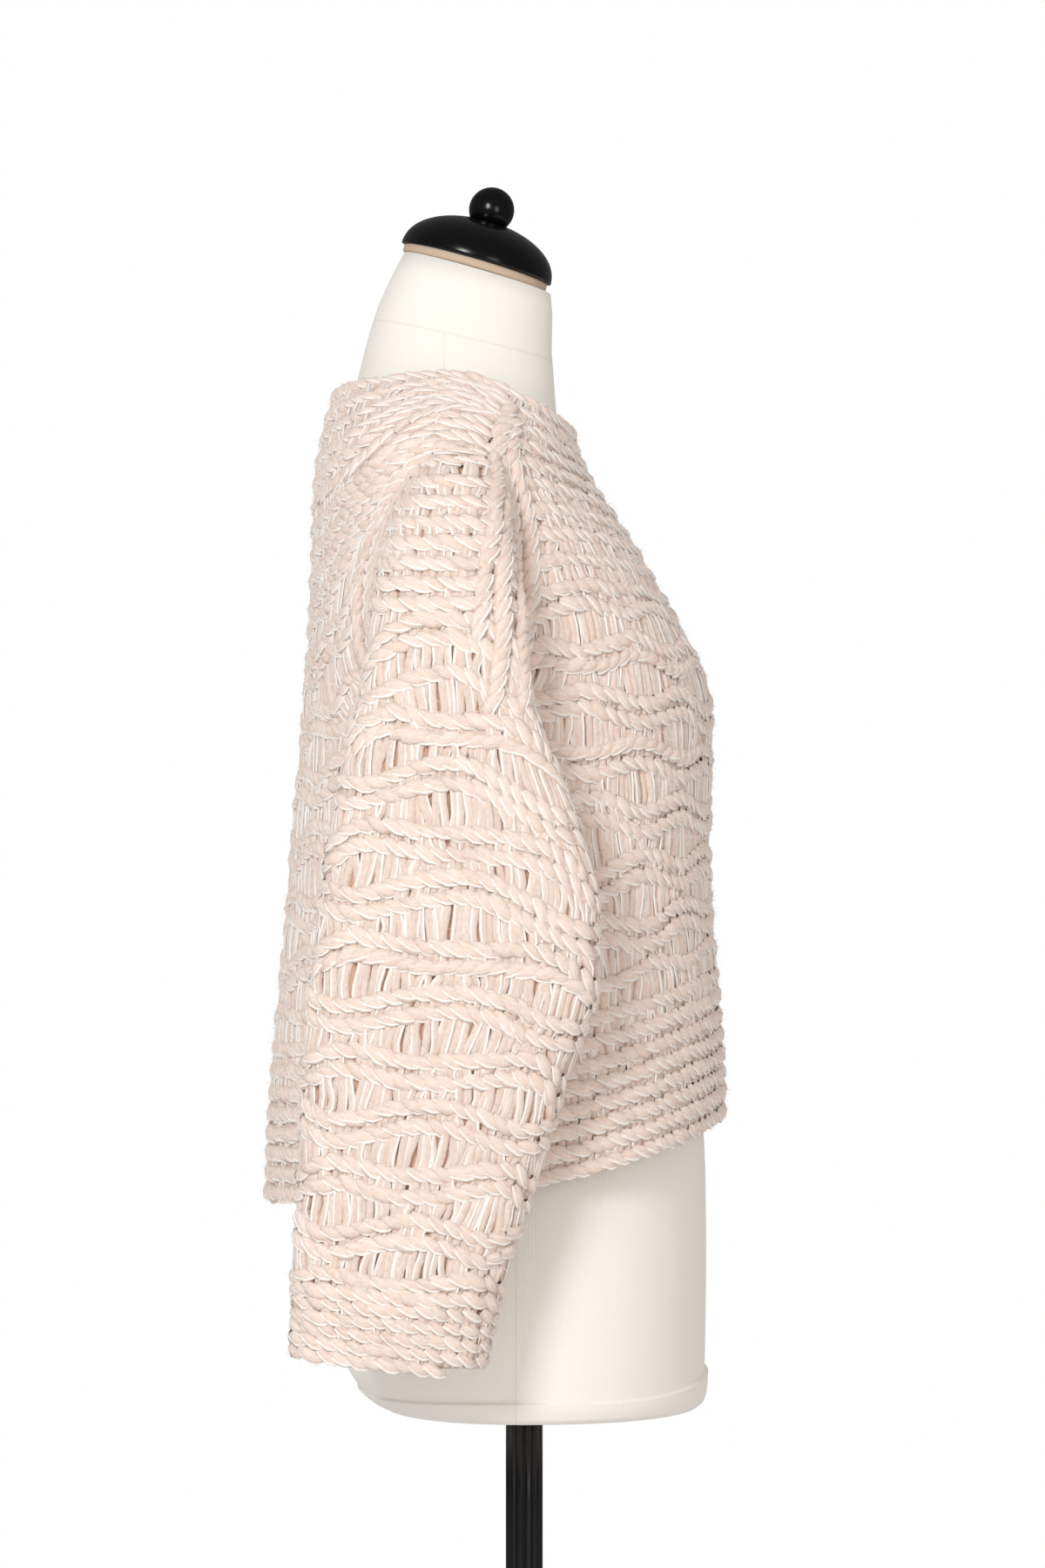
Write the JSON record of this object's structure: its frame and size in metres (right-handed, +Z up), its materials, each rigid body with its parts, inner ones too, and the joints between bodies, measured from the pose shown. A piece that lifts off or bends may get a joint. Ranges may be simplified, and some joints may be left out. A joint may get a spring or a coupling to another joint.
{
  "type": "knit sweater on a dress form",
  "caption": "Chunky boxy knit sweater with wavy open-loop bands and wide sleeves, worn by a limbless dress form on a fluted pole and round base.",
  "frame": {"origin": "centre of the base's underside, on the pole's axis", "axes": "+Z up along the pole; the sweater's front faces -Y; its own right sleeve is at -X"},
  "size_m": [0.5512, 0.3417, 1.562],
  "materials": {
    "knit": "brushed pale pink yarn with a thin white strand, matte and fuzzy",
    "jersey": "fine cream jersey, matte",
    "raw_wood": "raw turned wood",
    "black_wood": "satin black paint",
    "black_metal": "satin black paint"
  },
  "bodies": {
    "root": {"sweater_front": "knit", "sweater_back": "knit", "sleeve_right": "knit", "sleeve_left": "knit", "form_torso": "jersey", "neck_disc": "raw_wood", "neck_cap": "black_wood", "finial_ball": "black_wood", "pole": "black_metal", "base": "black_metal"}
  },
  "joints": []
}
